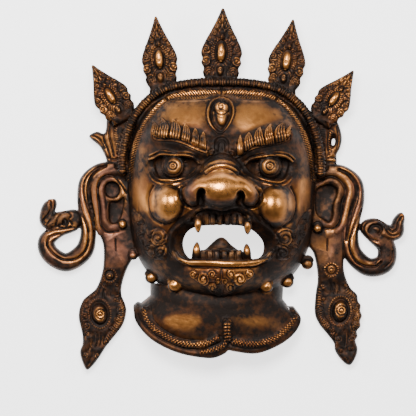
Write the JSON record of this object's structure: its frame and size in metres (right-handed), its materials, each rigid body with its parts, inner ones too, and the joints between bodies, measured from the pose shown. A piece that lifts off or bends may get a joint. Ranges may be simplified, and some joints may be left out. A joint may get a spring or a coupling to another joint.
{
  "type": "deity face mask",
  "caption": "Hollow cast bronze wrathful deity face mask with an open fanged mouth, leaf crown, long ears, pendants, scrolled ribbons and a collar, to hang on a wall.",
  "frame": {"origin": "bottom centre of the mask's bounding box, as it lies face up on its flat back rim", "axes": "+Z out of the face, +Y towards the crown, +X towards the viewer's right"},
  "size_m": [0.2751, 0.2698, 0.0845],
  "materials": {
    "patinated_bronze": "dark brown patina, rubbed back to golden bronze on the raised parts"
  },
  "bodies": {
    "root": {"mask_casting": "patinated_bronze"}
  },
  "joints": []
}
